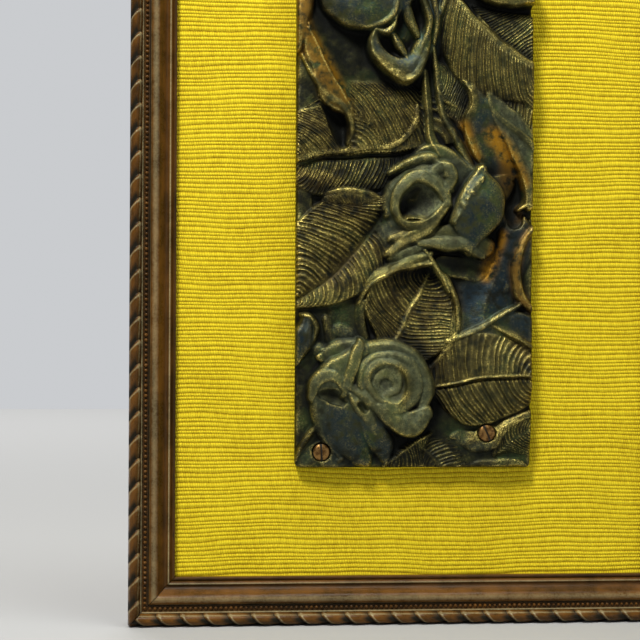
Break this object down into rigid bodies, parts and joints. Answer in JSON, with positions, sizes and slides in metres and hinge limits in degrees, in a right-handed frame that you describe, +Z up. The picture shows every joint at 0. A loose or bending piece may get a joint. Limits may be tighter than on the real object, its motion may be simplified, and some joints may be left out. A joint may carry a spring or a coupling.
{
  "type": "framed relief plaque",
  "caption": "Framed wall plaque: an upright cast bronze relief of roses and veined leaves, screwed to a cloth-covered board in a rope-twist wooden frame.",
  "frame": {"origin": "on the wall plane, centre of the back face of the top frame rail, where the plaque bears on the wall", "axes": "+X to the viewer's right, +Y into the wall, +Z up; the carved front faces -Y"},
  "size_m": [0.272, 0.0288, 0.429],
  "materials": {
    "bronze": "dark green-brown patina, rubbed to gold on ridges and margins",
    "screw_brass": "aged orange-brown brass",
    "cloth": "ribbed golden yellow cloth",
    "board": "bare pine board",
    "frame_wood": "dark walnut stain, satin",
    "hanger_steel": "plated steel"
  },
  "bodies": {
    "root": {"relief": "bronze", "screw_lower_left": "screw_brass", "screw_lower_right": "screw_brass", "screw_upper_left": "screw_brass", "screw_upper_right": "screw_brass", "backing_cloth": "cloth", "backing_board": "board", "frame_rail_top": "frame_wood", "frame_rail_bottom": "frame_wood", "frame_rail_left": "frame_wood", "frame_rail_right": "frame_wood", "hanger_left": "hanger_steel", "hanger_left_nail_left": "hanger_steel", "hanger_left_nail_right": "hanger_steel", "hanger_right": "hanger_steel", "hanger_right_nail_left": "hanger_steel", "hanger_right_nail_right": "hanger_steel"}
  },
  "joints": []
}
